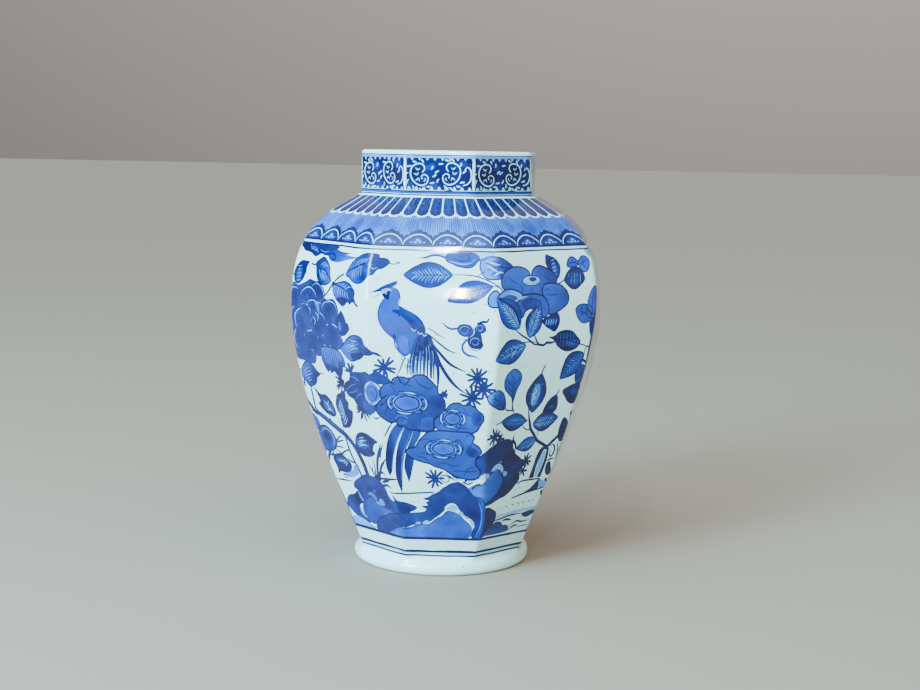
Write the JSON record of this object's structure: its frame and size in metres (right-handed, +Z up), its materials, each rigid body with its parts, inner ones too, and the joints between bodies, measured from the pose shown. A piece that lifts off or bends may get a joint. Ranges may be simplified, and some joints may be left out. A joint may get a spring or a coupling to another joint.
{
  "type": "ginger jar",
  "caption": "Octagonal baluster porcelain jar without a lid, with a faceted body, rounded shoulder, upright neck and round foot roll, painted in underglaze blue.",
  "frame": {"origin": "centre of the resting face, on the jar's axis", "axes": "+Z up along the jar's axis, -Y towards the viewer through the middle of the flat with the bird, +X to the right"},
  "size_m": [0.277, 0.277, 0.38],
  "materials": {
    "painted_glaze": "clear glossy glaze over cobalt painting on pale blue-white porcelain",
    "plain_glaze": "clear glossy glaze on pale blue-white porcelain, bare clay on the resting ring"
  },
  "bodies": {
    "root": {"foot_ring": "plain_glaze", "base_floor": "plain_glaze", "lower_body": "painted_glaze", "upper_body": "painted_glaze", "shoulder": "painted_glaze", "neck_collar": "painted_glaze"}
  },
  "joints": []
}
